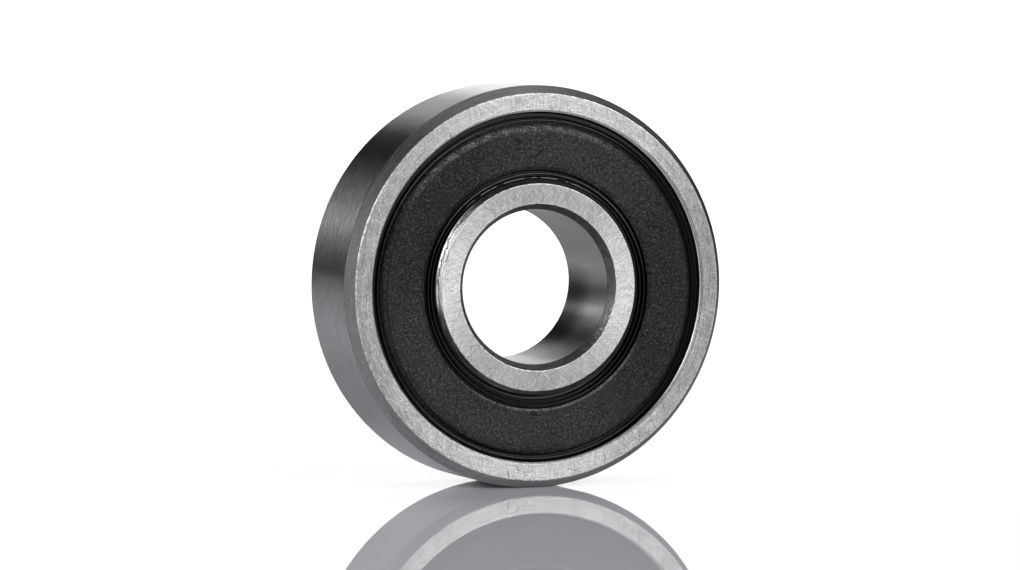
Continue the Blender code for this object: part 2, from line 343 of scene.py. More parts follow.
class Look:
    """Builds one material's nodes in short calls, from numbers, tuples and other nodes' outputs."""

    def __init__(self, name):
        self.material = bpy.data.materials.new(name)
        self.material.use_nodes = True
        self.tree = self.material.node_tree
        self.surface = self.tree.nodes["Principled BSDF"]

    @classmethod
    def of_tree(cls, tree):
        """The same short calls for a tree that isn't a material's."""
        look = cls.__new__(cls)
        look.tree = tree
        return look

    def feed(self, socket, value):
        """Links a node's output to the socket, or sets a number or tuple on it."""
        if isinstance(value, bpy.types.NodeSocket):
            self.tree.links.new(value, socket)
        else:
            socket.default_value = value

    def node(self, kind, inputs=None, **settings):
        node = self.tree.nodes.new(kind)
        for key, value in settings.items():
            setattr(node, key, value)
        for place, value in (inputs or {}).items():
            self.feed(node.inputs[place], value)
        return node

    def math(self, operation, first, second=0.0, third=0.0):
        node = self.node("ShaderNodeMath", {0: first, 1: second, 2: third}, operation=operation)
        return node.outputs[0]

    def times(self, first, second):
        return self.math("MULTIPLY", first, second)

    def higher(self, first, second):
        return self.math("MAXIMUM", first, second)

    def vector(self, x, y, z):
        return self.node("ShaderNodeCombineXYZ", {0: x, 1: y, 2: z}).outputs[0]

    def scaled(self, vector, scale):
        node = self.node("ShaderNodeVectorMath", {0: vector, 1: scale}, operation="MULTIPLY")
        return node.outputs[0]

    def shifted(self, vector, offset):
        return self.node("ShaderNodeVectorMath", {0: vector, 1: offset}, operation="ADD").outputs[0]

    def noise(self, vector, scale=1.0, detail=2.0, roughness=0.5):
        node = self.node(
            "ShaderNodeTexNoise",
            {"Vector": vector, "Scale": scale, "Detail": detail, "Roughness": roughness},
        )
        return node.outputs["Fac"]

    def grade(self, value, low, high, bottom=0.0, top=1.0, curve="SMOOTHSTEP"):
        """value mapped from low..high to bottom..top along a soft curve and held at the ends."""
        node = self.node(
            "ShaderNodeMapRange",
            {"Value": value, "From Min": low, "From Max": high, "To Min": bottom, "To Max": top},
            interpolation_type=curve,
        )
        return node.outputs["Result"]

    def ramp(self, value, low, high, bottom=0.0, top=1.0):
        """The same along a straight line."""
        return self.grade(value, low, high, bottom, top, "LINEAR")

    def band(self, value, low, high, soft):
        """1 between low and high, fading to 0 over soft outside them."""
        rise = self.grade(value, low - soft, low)
        fall = self.grade(value, high, high + soft, 1.0, 0.0)
        return self.times(rise, fall)

    def colour(self, red, green, blue):
        return self.node("ShaderNodeCombineColor", {0: red, 1: green, 2: blue}).outputs[0]

    def mix(self, factor, first, second):
        """The first colour where the factor is 0 and the second where it is 1."""
        node = self.node("ShaderNodeMix", {0: factor, 6: first, 7: second}, data_type="RGBA")
        return node.outputs[2]

    def blend(self, factor, first, second):
        """The same for numbers."""
        node = self.node("ShaderNodeMix", {0: factor, 2: first, 3: second}, data_type="FLOAT")
        return node.outputs[0]

    def scaled_where(self, mask, level, factor):
        """level, multiplied by the factor where the mask is 1."""
        return self.times(level, self.ramp(mask, 0.0, 1.0, 1.0, factor))

    def metal(self):
        self.surface.inputs["Metallic"].default_value = 1.0

    def complete(self, colour, roughness, relief, depth):
        """The material, with its colour, its roughness and its relief, which is depth mm deep."""
        bump = self.node("ShaderNodeBump", {"Height": relief, "Distance": depth * MM, "Strength": 1.0})
        self.feed(self.surface.inputs["Base Color"], colour)
        self.feed(self.surface.inputs["Roughness"], roughness)
        self.feed(self.surface.inputs["Normal"], bump.outputs[0])
        return self.material

    def place(self):
        """Object coordinates in millimetres."""
        coordinates = self.node("ShaderNodeTexCoord").outputs["Object"]
        return self.scaled(coordinates, (1 / MM, 1 / MM, 1 / MM))

    def polar(self, place, drop=0.0):
        """Radius, height along Y and angle round the bearing's axis. drop lowers the centre."""
        parts = self.node("ShaderNodeSeparateXYZ", {0: place}).outputs
        upward = self.math("ADD", parts[2], drop)
        angle = self.math("ARCTAN2", upward, parts[0])
        return self.distance(parts[0], upward), parts[1], angle

    def distance(self, first, second):
        """The length of an arrow with these two parts."""
        square = self.times(first, first)
        square = self.math("ADD", square, self.times(second, second))
        return self.math("SQRT", square)

    def swirl(self, radius, angle, slope, fineness, stretch):
        """Coordinates whose noise makes lines that cross circles at slope degrees, without a seam.

        fineness is how many lines fit in a radian, and stretch how fast a line changes on its way out.
        """
        twist = 1 / math.tan(math.radians(slope))
        outward = self.math("LOGARITHM", radius, math.e)
        turned = self.math("MULTIPLY_ADD", outward, twist, angle)
        across = self.times(self.math("COSINE", turned), fineness)
        along = self.times(self.math("SINE", turned), fineness)
        return self.vector(across, along, self.times(outward, stretch))

    def hoops(self, across, angle, fineness, length):
        """Coordinates whose noise makes lines round the axis, without a seam.

        fineness is how many lines fit in a mm across, and length how often a line changes in a radian.
        """
        first = self.times(self.math("COSINE", angle), length)
        second = self.times(self.math("SINE", angle), length)
        return self.vector(first, second, self.times(across, fineness))

    def seam(self, place):
        """A thin circle on the seal's face, a little off its centre."""
        offset = [-shift for shift in SEAM_SHIFT]
        parts = self.node("ShaderNodeSeparateXYZ", {0: self.shifted(place, offset)}).outputs
        radius = self.distance(parts[0], parts[2])
        return self.band(radius, SEAM_RADIUS, SEAM_RADIUS + 0.08, 0.03)

    def sector(self, angle, middle, full, end):
        """1 within full degrees of the middle angle, fading to 0 at end degrees from it."""
        facing = self.math("COSINE", self.math("SUBTRACT", angle, math.radians(middle)))
        return self.grade(facing, math.cos(math.radians(end)), math.cos(math.radians(full)))

    def streaks(self, radius, angle, near_radius, slope, width, length, share):
        """Separate streaks at slope degrees to the circle, so wide and long in mm near that radius."""
        lean = abs(math.sin(math.radians(slope)))
        fineness = near_radius * lean / width
        vector = self.swirl(radius, angle, slope, fineness, near_radius / (length * lean))
        return self.sparse(vector, share)

    def sparse(self, vector, share):
        """Separate soft spots of noise. A higher share covers more of the surface."""
        return self.grade(self.noise(vector, 1.0, 1.0, 0.5), 0.62 - share, 0.78 - share)

    def turned(self, place, turn):
        """Distances along and across a line in the XZ plane, turn degrees from the X axis."""
        parts = self.node("ShaderNodeSeparateXYZ", {0: place}).outputs
        cosine = math.cos(math.radians(turn))
        sine = math.sin(math.radians(turn))
        along = self.times(parts[0], cosine)
        along = self.math("ADD", along, self.times(parts[2], sine))
        across = self.times(parts[2], cosine)
        across = self.math("SUBTRACT", across, self.times(parts[0], sine))
        return along, across

    def scratches(self, place, turn, width, length, share):
        """Separate straight scratches, turn degrees from the X axis, so wide and long in mm."""
        along, across = self.turned(place, turn)
        along = self.math("DIVIDE", along, length)
        across = self.math("DIVIDE", across, width)
        return self.sparse(self.vector(along, across, turn), share)

    def gouge(self, place, x, z, turn, length, width):
        """One straight mark round the point (x, z), turn degrees from the X axis, in mm."""
        along, across = self.turned(self.shifted(place, (-x, 0, -z)), turn)
        along = self.math("ABSOLUTE", along)
        across = self.math("ABSOLUTE", across)
        near = self.grade(along, length / 2, length / 2 + 0.1, 1.0, 0.0)
        inside = self.grade(across, width / 2, width / 2 + 0.04, 1.0, 0.0)
        return self.times(near, inside)

    def gouges(self, place, marks):
        """All of the marks (x, z, turn, length, width) together."""
        total = 0.0
        for mark in marks:
            total = self.higher(total, self.gouge(place, *mark))
        return total

    def lines(self, vector, width):
        """Thin separate lines where the noise crosses its middle."""
        value = self.noise(vector, 1.0, 1.0, 0.55)
        away = self.math("ABSOLUTE", self.math("SUBTRACT", value, 0.5))
        return self.grade(away, 0.0, width, 1.0, 0.0)


# ---- materials


# Pale grey of the painted highlights on the rubber's shoulder and ledge
SHOULDER_HIGHLIGHT = (0.34, 0.335, 0.34, 1)


def grey(level):
    """A grey as a colour."""
    return (level, level, level, 1)


def brushed(look, turn, anisotropy):
    """Stretches the reflections across the grinding lines.

    turn is 0.25 where the lines run round the axis and 0 where they run across that direction.
    """
    look.metal()
    look.surface.inputs["Anisotropic"].default_value = anisotropy
    look.surface.inputs["Anisotropic Rotation"].default_value = turn
    tangent = look.node("ShaderNodeTangent", direction_type="RADIAL", axis="Y").outputs[0]
    look.feed(look.surface.inputs["Tangent"], tangent)


def ground_face(name, strokes, scratches, tone, turn, near_radius, wear_and_light):
    """A flat ground face with curved grinding strokes and straight scratches.

    The strokes have their size near the given radius. wear_and_light changes the level, by wear and
    painted light, and gives the tint: above 0 it is lilac, and below 0 it is warm.
    """
    look = Look(name)
    place = look.place()
    radius, height, angle = look.polar(place)
    speckle = look.noise(place, 10.0, 2.0, 0.7)
    patches = look.noise(place, 0.7, 3.0, 0.6)
    level = look.ramp(speckle, 0.4, 0.6, 0.85, 1.15)
    relief = look.times(speckle, 0.3)
    marks = []
    for *stroke, lightness in strokes:
        marks.append((look.streaks(radius, angle, near_radius, *stroke), lightness))
    for *scratch, lightness in scratches:
        marks.append((look.scratches(place, *scratch), lightness))
    for mark, lightness in marks:
        level = look.scaled_where(mark, level, 1 + lightness)
        relief = look.math("MULTIPLY_ADD", mark, -0.5, relief)
    level = look.times(level, look.grade(patches, 0.35, 0.65, 0.97, 1.03))
    nicks = look.scratches(place, 64, 0.08, 0.8, -0.03)
    level = look.times(level, look.ramp(nicks, 0.0, 1.0, tone, 0.3 * tone))
    level, tint = wear_and_light(look, place, radius, angle, level)
    lilac = look.higher(tint, 0.0)
    green = look.times(level, look.math("SUBTRACT", 0.985, lilac))
    blue = look.times(level, look.math("ADD", 0.982, tint))
    brushed(look, turn, 0.8)
    roughness = look.grade(speckle, 0.2, 0.8, 0.42, 0.52)
    return look.complete(look.colour(level, green, blue), roughness, relief, 0.004)


def rim_wear_and_light(look, place, radius, angle, level):
    """The outer ring's face: a rubbed rim on the left with a painted highlight on its edge, painted
    light and shade at the mouth on the right, and single marks.
    """
    rim = OUTSIDE_RADIUS - OUTER_CHAMFER
    left = look.sector(angle, 190, 25, 55)
    zone = look.times(look.band(radius, rim - 0.33, rim + 0.13, 0.05), left)
    # Painted highlight along the rim's edge on the upper left, broken up by noise
    shaken = look.math("MULTIPLY_ADD", look.noise(place, 3.0, 2.0), 0.12, radius)
    bright = look.band(shaken, rim, rim + 0.06, 0.02)
    bright = look.times(bright, look.sector(angle, 165, 14, 26))
    bright = look.times(bright, look.grade(look.noise(place, 2.6, 2.0), 0.45, 0.5))
    chips = look.grade(look.noise(place, 5.0, 1.0), 0.64, 0.7)
    chips = look.times(chips, look.sector(angle, 186, 10, 22))
    chips = look.times(look.band(radius, rim - 0.09, rim + 0.13, 0.04), chips)
    level = look.scaled_where(zone, level, 0.9)
    flat_edge = MOUTH_RADIUS + MOUTH_BEVEL
    right = look.sector(angle, 0, 40, 68)
    level = mouth_edge_painted_light(look, radius, flat_edge, right, level)
    level = look.blend(look.gouges(place, FACE_GOUGES), level, 0.15)
    # Painted paler band beside the mouth on the right
    pale = look.band(radius, flat_edge + 0.11, flat_edge + 0.19, 0.04)
    level = look.scaled_where(look.times(pale, right), level, 1.14)
    # Painted shade on the right
    level = look.scaled_where(look.sector(angle, -5, 14, 40), level, 0.9)
    level = look.blend(look.higher(bright, chips), level, 0.97)
    warm = look.times(look.sector(angle, 225, 25, 60), 0.016)
    return level, look.math("SUBTRACT", look.times(zone, 0.022), warm)


def mouth_edge_painted_light(look, radius, flat_edge, right, level):
    """On the right: painted shade on the mouth's bevel and in a thin line beside it, and a painted
    glint on its inner edge.
    """
    # Painted shade on the bevel and in a thin line, and a painted glint, all on the right
    bevel = look.grade(radius, flat_edge - 0.02, flat_edge, 1.0, 0.0)
    groove = look.band(radius, flat_edge + 0.025, flat_edge + 0.06, 0.02)
    glint = look.grade(radius, MOUTH_RADIUS + 0.045, MOUTH_RADIUS + 0.06, 1.0, 0.0)
    level = look.scaled_where(look.times(bevel, right), level, 0.62)
    level = look.scaled_where(look.times(groove, right), level, 0.3)
    return look.blend(look.times(glint, right), level, 0.97)


def polished_edge():
    """The rubbed bright edges of a ground face."""
    look = Look("bright_edge")
    nicks = look.noise(look.place(), 4.0, 3.0, 0.7)
    colour = look.mix(look.grade(nicks, 0.35, 0.6), grey(0.35), grey(0.92))
    look.metal()
    return look.complete(colour, look.grade(nicks, 0.3, 0.7, 0.42, 0.28), nicks, 0.01)


def outside_painted_reflection(look, place, radius, angle, level):
    """The outside diameter: a painted darker reflection low on the left and a paler one below that."""
    # Painted reflections: darker low on the left, paler below that
    dull = look.times(look.sector(angle, 203, 12, 32), -0.14)
    pale = look.times(look.sector(angle, 252, 12, 32), 0.2)
    return look.times(level, look.math("ADD", look.math("ADD", dull, pale), 1.0))


def bore_darkening(look, place, radius, angle, level):
    """The bore is darker low on the right, most towards its rear, with painted shade a little lower.
    """
    height = look.polar(place)[1]
    darkening = look.times(look.sector(angle, -24, 14, 42), look.grade(height, -1.2, 1.6))
    # Painted shade low on the right
    low = look.times(look.sector(angle, -50, 8, 18), 0.2)
    level = look.scaled_where(darkening, level, 0.4)
    return look.times(level, look.math("SUBTRACT", 1.0, low))


def ground_round(name, tone, roughness, wear_and_light=None):
    """A ground cylinder or raceway, with fine streaks round the axis, stronger high on the left."""
    look = Look(name)
    place = look.place()
    radius, height, angle = look.polar(place)
    streaks = look.noise(look.hoops(height, angle, 8.0, 16.0), 1.0, 2.0, 0.6)
    fine = look.noise(look.hoops(height, angle, 14.0, 20.0), 1.0, 1.0, 0.6)
    drift = look.noise(place, 0.3, 1.0)
    strokes = look.ramp(streaks, 0.38, 0.62, -1.0, 1.0)
    strength = look.ramp(look.sector(angle, 158, 14, 48), 0.0, 1.0, 0.06, 0.19)
    level = look.math("MULTIPLY_ADD", strokes, strength, 1.0)
    level = look.times(level, look.ramp(fine, 0.38, 0.62, 0.92, 1.08))
    level = look.times(level, look.grade(drift, 0.3, 0.7, 0.97, 1.03))
    if wear_and_light:
        level = wear_and_light(look, place, radius, angle, level)
    level = look.times(level, tone)
    brushed(look, 0.25, 0.97)
    varied = look.grade(streaks, 0.3, 0.7, roughness - 0.01, roughness + 0.01)
    return look.complete(look.colour(level, level, level), varied, fine, 0.001)


def turned_steel(name, tone, wear_and_light):
    """Turned and hardened steel that was never ground: chamfers, seal grooves and lands."""
    look = Look(name)
    place = look.place()
    radius, height, angle = look.polar(place)
    rings = look.noise(look.hoops(look.math("ADD", radius, height), angle, 9.0, 7.0), 1.0, 2.0, 0.6)
    mottle = look.noise(place, 5.0, 3.0, 0.65)
    uneven = look.grade(mottle, 0.3, 0.7, 0.86, 1.14)
    level = look.times(look.grade(rings, 0.3, 0.7, 0.84, 1.16), uneven)
    level, warm = wear_and_light(look, place, radius, angle, look.times(level, tone))
    red = look.times(level, look.math("ADD", 1.0, warm))
    blue = look.times(level, look.math("SUBTRACT", 1.0, warm))
    look.metal()
    relief = look.math("ADD", look.times(rings, 0.6), look.times(mottle, 0.4))
    roughness = look.grade(mottle, 0.3, 0.7, 0.36, 0.48)
    return look.complete(look.colour(red, level, blue), roughness, relief, 0.006)


def land_wear_and_highlight(look, place, radius, angle, level):
    """The inner ring's chamfer is rubbed bright on the left, partly a painted highlight, with a jagged
    crack along it.
    """
    jagged = look.math("MULTIPLY_ADD", look.noise(place, 2.4, 3.0, 0.65), 0.3, radius)
    # Rubbed streaks with a painted highlight on the left
    worn = look.sector(angle, 160, 18, 36)
    rubbed_and_lit = look.sector(angle, 195, 30, 75)
    shaded = look.sector(angle, 212, 14, 30)
    lilac = look.sector(angle, 184, 10, 26)
    streaks = look.noise(look.hoops(radius, angle, 9.0, 5.0), 1.0, 3.0, 0.65)
    shine = look.ramp(streaks, 0.36, 0.62, 0.2, 1.1)
    crack = look.times(look.band(jagged, LAND_RADIUS + 0.005, LAND_RADIUS + 0.03, 0.03), worn)
    lined = look.ramp(streaks, 0.4, 0.6, 0.6, 1.7)
    level = look.times(level, look.blend(rubbed_and_lit, 0.6, lined))
    level = look.times(level, look.grade(shaded, 0.0, 1.0, 1.0, 0.36))
    level = look.blend(worn, level, look.times(shine, 0.85))
    level = look.blend(crack, level, 0.02)
    return level, look.ramp(lilac, 0.0, 1.0, 0.03, -0.03)


def chamfer_light_and_flecks(look, place, radius, angle, level):
    """Chamfers: paler low on the left by a painted reflection, duller at the left by painted shade,
    flecked by the bore low on the right.
    """
    # Painted reflection, paler low on the left
    painted_sheen = look.sector(angle, 235, 40, 80)
    level = look.scaled_where(painted_sheen, level, 2.0)
    # Painted shade at the left
    left = look.sector(angle, 170, 16, 34)
    level = look.scaled_where(left, level, 0.88)
    flecks = look.band(radius, BORE_RADIUS + 0.2, BORE_RADIUS + 0.42, 0.08)
    flecks = look.times(flecks, look.sector(angle, -34, 10, 26))
    flecks = look.times(flecks, look.grade(look.noise(place, 7.0, 2.0, 0.7), 0.52, 0.62))
    level = look.blend(flecks, level, 0.5)
    return level, look.ramp(look.higher(painted_sheen, left), 0.0, 1.0, 0.02, 0.0)


def inner_rub_and_highlight(look, place, radius, angle, level):
    """The rubbed side, partly a painted highlight, carries on over the edge of the inner ring's face
    as thin streaks.
    """
    face_edge = LAND_RADIUS - LAND_CHAMFER
    zone = look.band(radius, face_edge - 0.17, face_edge + 0.13, 0.05)
    # Rubbed streaks with a painted highlight on the left
    zone = look.times(zone, look.sector(angle, 166, 20, 44))
    streaks = look.noise(look.hoops(radius, angle, 12.0, 5.0), 1.0, 2.0, 0.6)
    shine = look.ramp(streaks, 0.36, 0.6, 0.25, 0.97)
    return look.blend(look.times(zone, 0.8), level, shine), look.times(zone, 0.02)


def moulded_rubber():
    """Black nitrile rubber with the fine grain of its mould, and painted highlights on its shoulders.
    """
    look = Look("seal_rubber")
    place = look.place()
    radius, height, angle = look.polar(place, SEAL_DROP)
    worn = look.grade(look.noise(place, 0.9, 3.0, 0.6), 0.4, 0.56)
    matte = look.grade(worn, 0.0, 1.0, 0.65, 1.0)
    grain = look.noise(place, 5.0, 3.0, 0.75)
    pits = look.noise(place, 9.5, 2.0, 0.7)
    colour = grained(look, worn, matte, grain, pits)
    colour = slowly_shaded(look, place, radius, angle, colour)
    colour = specks_and_highlights(look, place, radius, angle, matte, colour)
    colour = nicked(look, place, angle, colour)
    look.surface.inputs["Specular IOR Level"].default_value = 0.27
    relief = look.math("ADD", look.times(grain, 0.7), look.times(pits, 0.5))
    relief = look.times(relief, look.blend(matte, 0.35, 1.0))
    return look.complete(colour, look.blend(matte, 0.4, 0.5), relief, 0.15)


def grained(look, worn, matte, grain, pits):
    """The rubber's own black, speckled by its grain and pits, most where it is matte."""
    tone = look.ramp(pits, 0.44, 0.58, 0.0, 2.3)
    tone = look.times(tone, look.ramp(grain, 0.42, 0.58, 0.1, 2.0))
    plain = look.mix(worn, (0.0185, 0.0172, 0.022, 1), (0.0175, 0.0172, 0.0185, 1))
    speckled = look.mix(look.ramp(tone, 0.0, 4.6), grey(0.0), (0.106, 0.1, 0.111, 1))
    return look.mix(matte, plain, speckled)


def slowly_shaded(look, place, radius, angle, colour):
    """Painted sheen: paler at the top and low on the left, darker elsewhere; darker in soft patches;
    painted shade by the rim.
    """
    # Painted sheen: paler at the top and low on the left, darker elsewhere
    painted_sheen = look.higher(look.sector(angle, 75, 10, 50), look.sector(angle, 245, 30, 80))
    darker = look.mix(0.3, colour, grey(0.0))
    colour = look.mix(painted_sheen, darker, look.mix(0.012, colour, grey(1.0)))
    broad = look.grade(look.noise(place, 0.5, 2.0), 0.35, 0.65, 0.2, 0.0)
    # Painted shade by the rim, low on the left
    rim = look.grade(radius, SEAL_FACE_OUTER - 0.8, SEAL_FACE_OUTER - 0.1)
    rim = look.times(rim, look.sector(angle, 232, 35, 62))
    return look.mix(look.math("MULTIPLY_ADD", rim, 0.3, broad), colour, grey(0.0))


def specks_and_highlights(look, place, radius, angle, matte, colour):
    """Pale specks, and painted speckled highlights on the outer shoulder at the top and the ledge at
    the bottom.
    """
    specks = look.grade(look.noise(place, 8.0, 1.0), 0.66, 0.73)
    colour = look.mix(look.times(specks, matte), colour, (0.1, 0.1, 0.104, 1))
    # Painted speckled highlights on the outer shoulder at the top and on the ledge at the bottom
    shoulder = look.band(radius, SEAL_FACE_OUTER - 0.2, SEAL_FACE_OUTER - 0.04, 0.2)
    shoulder = look.times(shoulder, look.sector(angle, 102, 22, 52))
    ledge = look.band(radius, LEDGE_RADIUS - 0.02, LEDGE_RADIUS + 0.12, 0.07)
    ledge = look.times(ledge, look.sector(angle, -82, 25, 65))
    colour = look.mix(look.times(ledge, 0.12), colour, SHOULDER_HIGHLIGHT)
    highlight_speckle = look.grade(look.noise(place, 14.0, 1.0, 0.6), 0.44, 0.66)
    patchy = look.grade(look.noise(place, 1.6, 1.0), 0.4, 0.6, 0.35, 0.9)
    shoulder_highlights = look.times(look.higher(shoulder, ledge), look.times(highlight_speckle, patchy))
    return look.mix(shoulder_highlights, colour, SHOULDER_HIGHLIGHT)


def nicked(look, place, angle, colour):
    """Thin dark nicks, the seam low on the left and the single marks."""
    nicks = look.lines(look.scaled(place, (1.1, 1.1, 1.1)), 0.012)
    nicks = look.times(nicks, look.grade(look.noise(place, 0.55, 1.0), 0.58, 0.62))
    nicks = look.higher(nicks, look.gouges(place, SEAL_GOUGES))
    seam = look.times(look.seam(place), look.sector(angle, 210, 45, 62))
    return look.mix(look.higher(seam, nicks), colour, grey(0.002))


def polished_rubber():
    """The same rubber where the mould was polished: the lip, the grooves and their ridges, with
    painted highlights on the crests.
    """
    look = Look("lip_rubber")
    place = look.place()
    radius, height, angle = look.polar(place, SEAL_DROP)
    ripple = look.noise(place, 2.5, 3.0, 0.6)
    colour = look.mix(ripple, (0.002, 0.0019, 0.0019, 1), (0.004, 0.0038, 0.0038, 1))
    # Painted highlights on the ridges' crests: the lip's ridges at the top, the rim's ridge at the top
    # and bottom
    upper = look.band(radius, UPPER_RIDGE - 0.015, UPPER_RIDGE + 0.015, 0.03)
    upper = look.times(upper, look.sector(angle, 88, 35, 80))
    lower = look.band(radius, LOWER_RIDGE - 0.015, LOWER_RIDGE + 0.015, 0.03)
    lower = look.times(lower, look.sector(angle, 95, 18, 45))
    lower = look.times(lower, look.grade(look.noise(place, 1.6, 2.0), 0.42, 0.55))
    both_ends = look.higher(look.sector(angle, 108, 30, 60), look.sector(angle, -95, 25, 55))
    outer = look.times(look.band(radius, RIM_RIDGE - 0.01, RIM_RIDGE + 0.01, 0.03), both_ends)
    rubbed_and_lit = look.higher(look.times(upper, 0.4), look.times(outer, 0.3))
    rubbed_and_lit = look.higher(rubbed_and_lit, lower)
    rubbed_and_lit = look.times(rubbed_and_lit, look.grade(ripple, 0.3, 0.6, 0.5))
    colour = look.mix(rubbed_and_lit, colour, grey(0.3))
    look.surface.inputs["Specular IOR Level"].default_value = 0.34
    dusty = look.times(look.band(radius, 10.6, 11.7, 0.05), look.sector(angle, 0, 35, 60))
    roughness = look.blend(dusty, look.grade(ripple, 0.3, 0.7, 0.16, 0.26), 0.8)
    return look.complete(colour, roughness, ripple, 0.012)


def sheet_steel(name, tone, roughness):
    """Dull rolled or pressed steel with a cloudy satin and fine drawing marks."""
    look = Look(name)
    place = look.place()
    mottle = look.noise(place, 1.6, 4.0, 0.6)
    marks = look.noise(look.scaled(place, (2.0, 30.0, 2.0)), 1.0, 2.0, 0.6)
    dull = (tone * 0.8, tone * 0.79, tone * 0.76, 1)
    clean = (tone * 1.1, tone * 1.09, tone * 1.07, 1)
    look.metal()
    varied = look.grade(marks, 0.2, 0.8, roughness - 0.08, roughness + 0.1)
    return look.complete(look.mix(mottle, dull, clean), varied, marks, 0.004)


def polished_ball():
    """Lapped chrome steel with the faintest haze of crossing lapping lines."""
    look = Look("ball_steel")
    place = look.place()
    haze = look.noise(place, 2.0, 3.0)
    lines = look.lines(look.scaled(place, (6.0, 6.0, 1.5)), 0.01)
    colour = look.mix(haze, (0.72, 0.72, 0.73, 1), (0.8, 0.8, 0.81, 1))
    look.metal()
    return look.complete(colour, look.grade(haze, 0.3, 0.7, 0.05, 0.1), lines, 0.0004)


# ---- rings and seals


def outer_ring_outline():
    """Raceway, shoulder, seal groove, mouth with its bevel, ground face, chamfer, outside diameter."""
    floor_radius = PITCH_RADIUS + BALL_RADIUS + RACE_CLEARANCE
    return mirrored(
        raceway(floor_radius, OUTER_SHOULDER, 1)
        + [
            (OUTER_SHOULDER, SEAL_GROOVE_BOTTOM, 0.05, TURNED),
            (SEAL_GROOVE_RADIUS, SEAL_GROOVE_BOTTOM, 0.08, TURNED),
            (SEAL_GROOVE_RADIUS, SEAL_GROOVE_TOP, 0.08, TURNED),
            (MOUTH_RADIUS, MOUTH_FOOT, 0.05, TURNED),
            (MOUTH_RADIUS, HALF_WIDTH - MOUTH_BEVEL_DEPTH, 0.03, GROUND),
            (MOUTH_RADIUS + MOUTH_BEVEL, HALF_WIDTH, 0.03, GROUND),
            (OUTSIDE_RADIUS - OUTER_CHAMFER, HALF_WIDTH, 0.06, TURNED),
            (OUTSIDE_RADIUS, HALF_WIDTH - OUTER_CHAMFER_DEPTH, 0.22, CYLINDER),
        ]
    )


def inner_ring_outline():
    """Bore, chamfer, ground face, rubbed chamfer, seal land, shoulder and raceway, then the bore."""
    floor_radius = PITCH_RADIUS - BALL_RADIUS - RACE_CLEARANCE
    groove = raceway(floor_radius, INNER_SHOULDER, -1)
    upper = [
        (BORE_RADIUS, HALF_WIDTH - BORE_CHAMFER_DEPTH, 0.2, TURNED),
        (BORE_RADIUS + BORE_CHAMFER, HALF_WIDTH, 0.04, GROUND),
        (LAND_RADIUS - LAND_CHAMFER, HALF_WIDTH, 0.05, RUBBED),
        (LAND_RADIUS, HALF_WIDTH - LAND_CHAMFER_DEPTH, 0.1, TURNED),
        (LAND_RADIUS, LAND_FOOT, 0.08, TURNED),
        (INNER_SHOULDER, INNER_SHOULDER_TOP, 0.08, TURNED),
        (INNER_SHOULDER, groove[-1][1], 0.05, RACE),
    ]
    upper += [(radius, height, 0, RACE) for radius, height, fillet, finish in groove[-2::-1]]
    whole = mirrored(upper)
    radius, height, fillet, finish = whole[-1]
    return whole[:-1] + [(radius, height, fillet, CYLINDER)]


def seal_outline():
    """Lip with two ridges, raised face, moat, ridge, rim and bead, and the recess for the insert.

    Its corners are (radius, height, fillet).
    """
    recess_top = INSERT_TOP + BOND_GAP
    corners = [
        (7.02, 3.05, 0.05),
        (7.02, 3.38, 0.06),
        (7.13, 3.38, 0.05),
        (LOWER_RIDGE - RIDGE_HALF, 3.62, 0.02),
        (LOWER_RIDGE + RIDGE_HALF, 3.62, 0.02),
        (7.28, 3.36, 0.05),
        (7.39, 3.36, 0.05),
        (UPPER_RIDGE - RIDGE_HALF, 3.7, 0.02),
        (UPPER_RIDGE + RIDGE_HALF, 3.7, 0.02),
        (7.54, 3.42, 0.05),
        (7.64, 3.42, 0.05),
        (LEDGE_RADIUS, 3.62, 0.04),
        (SEAL_FACE_INNER, SEAL_FACE_HEIGHT, 0.2),
        (SEAL_FACE_OUTER, SEAL_FACE_HEIGHT, 0.45),
        (10.74, 3.42, 0.06),
        (10.84, 3.42, 0.04),
        (RIM_RIDGE - RIDGE_HALF, 3.72, 0.02),
        (RIM_RIDGE + RIDGE_HALF, 3.72, 0.02),
        (10.98, 3.46, 0.04),
        (11.04, 3.46, 0.03),
        (11.08, 3.62, 0.04),
        (11.24, 3.6, 0.05),
        (11.25, 3.38, 0.06),
        (11.65, 3.15, 0.08),
        (11.65, 2.85, 0.1),
        (11.53, 2.7, 0.06),
        (INSERT_OUTER + BOND_GAP, 2.7, 0.04),
        (INSERT_OUTER + BOND_GAP, recess_top, 0.03),
        (INSERT_INNER - BOND_GAP, recess_top, 0.03),
        (INSERT_INNER - BOND_GAP, 2.95, 0.04),
    ]
    grained_from = (LEDGE_RADIUS, SEAL_FACE_INNER, SEAL_FACE_OUTER)
    finished_corners = []
    for radius, height, fillet in corners:
        finish = GRAINED if radius in grained_from else POLISHED
        finished_corners.append((radius, height, fillet, finish))
    return rounded(finished_corners, 3)


def lowered_seal(mesh):
    """Moves the moulded face down a little, but not the lip's tip, the bead or the inside.

    The move fades out towards the tip and the rim.
    """
    tip_radius = 7.03
    rim_radius = 11.2
    for vertex in mesh.vertices:
        radius = math.hypot(vertex.co.x, vertex.co.z) / MM
        past_tip = min(max((radius - tip_radius) / 0.12, 0), 1)
        within_rim = min(max((rim_radius - radius) / 0.15, 0), 1)
        if abs(vertex.co.y) / MM > INSERT_TOP + 2 * BOND_GAP:
            vertex.co.z -= SEAL_DROP * MM * min(past_tip, within_rim)
    return mesh


def insert_outline():
    """The flat steel washer inside a seal."""
    corners = [
        (INSERT_INNER, INSERT_BOTTOM, 0.03, 0),
        (INSERT_INNER, INSERT_TOP, 0.03, 0),
        (INSERT_OUTER, INSERT_TOP, 0.03, 0),
        (INSERT_OUTER, INSERT_BOTTOM, 0.03, 0),
    ]
    return rounded(corners, 3)


# ---- balls and cage


